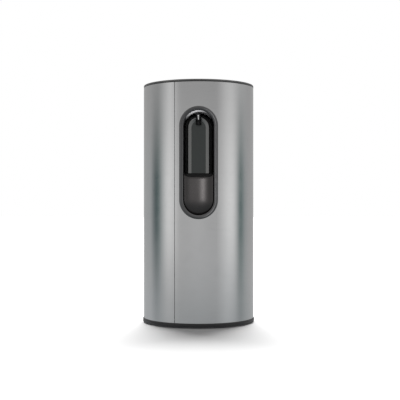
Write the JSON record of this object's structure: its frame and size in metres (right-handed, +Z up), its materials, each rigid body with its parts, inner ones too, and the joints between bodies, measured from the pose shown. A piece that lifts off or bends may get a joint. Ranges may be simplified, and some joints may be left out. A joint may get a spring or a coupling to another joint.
{
  "type": "countertop water dispenser",
  "caption": "Upright brushed-steel drum water dispenser with a hinged front door, a recessed round-ended dispensing niche, a drip cup, a fill lid and its working internals.",
  "frame": {"origin": "centre of the drum's axis on the table, under the rubber feet", "axes": "+Z up along the drum's axis, front towards -Y, +X to the right seen from the front"},
  "size_m": [0.2232, 0.2232, 0.4728],
  "materials": {
    "base_tray": "satin dark trim",
    "base_plate": "zinc-plated sheet",
    "rubber_feet": "matt",
    "housing_screws": "pan-head machine screws",
    "rear_shell": "brushed stainless sheet",
    "corner_posts": "square posts",
    "shelf": "zinc-plated sheet",
    "top_plate": "zinc-plated sheet",
    "top_cap": "fine satin texture",
    "jamb_strip": "matt sealing strip",
    "magnet_catches": "housed magnets",
    "hinge_leaves_fixed": "formed steel",
    "hinge_pins": "ground pins",
    "rear_panel": "satin",
    "fill_funnel": "smooth",
    "water_tank": "clear moulded plastic",
    "tank_lid": "smooth",
    "float_stem": "smooth",
    "filter_head": "smooth",
    "pump_motor": "drawn can",
    "pump_head": "moulded",
    "chiller_can": "drawn stainless",
    "chiller_jacket": "closed-cell foam",
    "cold_block": "machined",
    "peltier_module": "ceramic plates",
    "heat_sink": "extruded",
    "fan_frame": "moulded",
    "power_supply": "perforated case",
    "control_board": "solder-masked board",
    "board_parts": "components",
    "board_bracket": "zinc-plated sheet",
    "power_inlet": "moulded",
    "inlet_pins": "plated blades",
    "switch_frame": "moulded",
    "water_hoses": "flexible hose",
    "door_skin": "brushed stainless sheet",
    "door_ribs": "zinc-plated sheet",
    "door_edges": "zinc-plated sheet",
    "strike_plates": "plain steel",
    "hinge_leaves_door": "formed steel",
    "niche_bezel": "satin",
    "niche_retainer": "moulded",
    "niche_liner": "smooth",
    "liner_screws": "pan-head",
    "nozzle": "smooth",
    "nozzle_insert": "polished",
    "door_hose": "flexible hose",
    "paddle_pin": "ground pin",
    "paddle_spring": "spring wire",
    "trigger_switch": "moulded",
    "paddle": "smooth",
    "trigger_plunger": "smooth",
    "drip_cup": "satin",
    "drip_grid": "stamped",
    "fill_lid": "fine satin texture",
    "tank_float": "smooth",
    "filter_cartridge": "smooth",
    "pump_impeller": "smooth",
    "fan_rotor": "moulded",
    "switch_rocker": "moulded"
  },
  "bodies": {
    "cabinet": {"base_tray": "base_tray", "base_plate": "base_plate", "rubber_feet": "rubber_feet", "housing_screws": "housing_screws", "rear_shell": "rear_shell", "corner_posts": "corner_posts", "shelf": "shelf", "top_plate": "top_plate", "top_cap": "top_cap", "jamb_strip": "jamb_strip", "magnet_catches": "magnet_catches", "hinge_leaves_fixed": "hinge_leaves_fixed", "hinge_pins": "hinge_pins", "rear_panel": "rear_panel", "fill_funnel": "fill_funnel", "water_tank": "water_tank", "tank_lid": "tank_lid", "float_stem": "float_stem", "filter_head": "filter_head", "pump_motor": "pump_motor", "pump_head": "pump_head", "chiller_can": "chiller_can", "chiller_jacket": "chiller_jacket", "cold_block": "cold_block", "peltier_module": "peltier_module", "heat_sink": "heat_sink", "fan_frame": "fan_frame", "power_supply": "power_supply", "control_board": "control_board", "board_parts": "board_parts", "board_bracket": "board_bracket", "power_inlet": "power_inlet", "inlet_pins": "inlet_pins", "switch_frame": "switch_frame", "water_hoses": "water_hoses"},
    "door": {"door_skin": "door_skin", "door_ribs": "door_ribs", "door_edges": "door_edges", "strike_plates": "strike_plates", "hinge_leaves_door": "hinge_leaves_door", "niche_bezel": "niche_bezel", "niche_retainer": "niche_retainer", "niche_liner": "niche_liner", "liner_screws": "liner_screws", "nozzle": "nozzle", "nozzle_insert": "nozzle_insert", "door_hose": "door_hose", "paddle_pin": "paddle_pin", "paddle_spring": "paddle_spring", "trigger_switch": "trigger_switch"},
    "paddle": {"paddle": "paddle"},
    "plunger": {"trigger_plunger": "trigger_plunger"},
    "drip_cup": {"drip_cup": "drip_cup", "drip_grid": "drip_grid"},
    "fill_lid": {"fill_lid": "fill_lid"},
    "tank_float": {"tank_float": "tank_float"},
    "filter": {"filter_cartridge": "filter_cartridge"},
    "pump_rotor": {"pump_impeller": "pump_impeller"},
    "fan_rotor": {"fan_rotor": "fan_rotor"},
    "power_switch": {"switch_rocker": "switch_rocker"}
  },
  "joints": [
    {"name": "door_hinge", "type": "hinge", "parent": "cabinet", "child": "door", "pos_m": [0.10013, 0.05324, 0.2], "axis": [0, 0, 1], "range_deg": [0, 100], "deforming": ["door_hose"]},
    {"name": "paddle_hinge", "type": "hinge", "parent": "door", "child": "paddle", "pos_m": [0, -0.05, 0.39], "axis": [1, 0, 0], "range_deg": [0, 3], "stiffness_Nm_per_rad": 1.2, "springref_deg": -2.86, "deforming": ["paddle_spring"]},
    {"name": "plunger_slide", "type": "slide", "parent": "door", "child": "plunger", "axis": [0, 1, 0], "range_m": [0, 0.0028]},
    {"name": "cup_slide", "type": "slide", "parent": "door", "child": "drip_cup", "axis": [0, -1, 0], "range_m": [0, 0.05]},
    {"name": "lid_hinge", "type": "hinge", "parent": "cabinet", "child": "fill_lid", "pos_m": [0, 0.06, 0.47], "axis": [-1, 0, 0], "range_deg": [0, 95]},
    {"name": "float_slide", "type": "slide", "parent": "cabinet", "child": "tank_float", "axis": [0, 0, 1], "range_m": [0, 0.165]},
    {"name": "filter_twist", "type": "hinge", "parent": "cabinet", "child": "filter", "pos_m": [0.046, -0.044, 0.1], "axis": [0, 0, 1], "range_deg": [0, 90]},
    {"name": "pump_spin", "type": "hinge", "parent": "cabinet", "child": "pump_rotor", "pos_m": [-0.036, -0.052, 0.07], "axis": [0, 0, 1], "continuous": true},
    {"name": "fan_spin", "type": "hinge", "parent": "cabinet", "child": "fan_rotor", "pos_m": [0, 0.0934, 0.105], "axis": [0, 1, 0], "continuous": true},
    {"name": "power_rocker", "type": "hinge", "parent": "cabinet", "child": "power_switch", "pos_m": [0.022, 0.099, 0.038], "axis": [-1, 0, 0], "range_deg": [0, 14]}
  ],
  "couplings": [
    {"joint": "plunger_slide", "follows": "paddle_hinge", "m_per_rad": 0.0495}
  ]
}
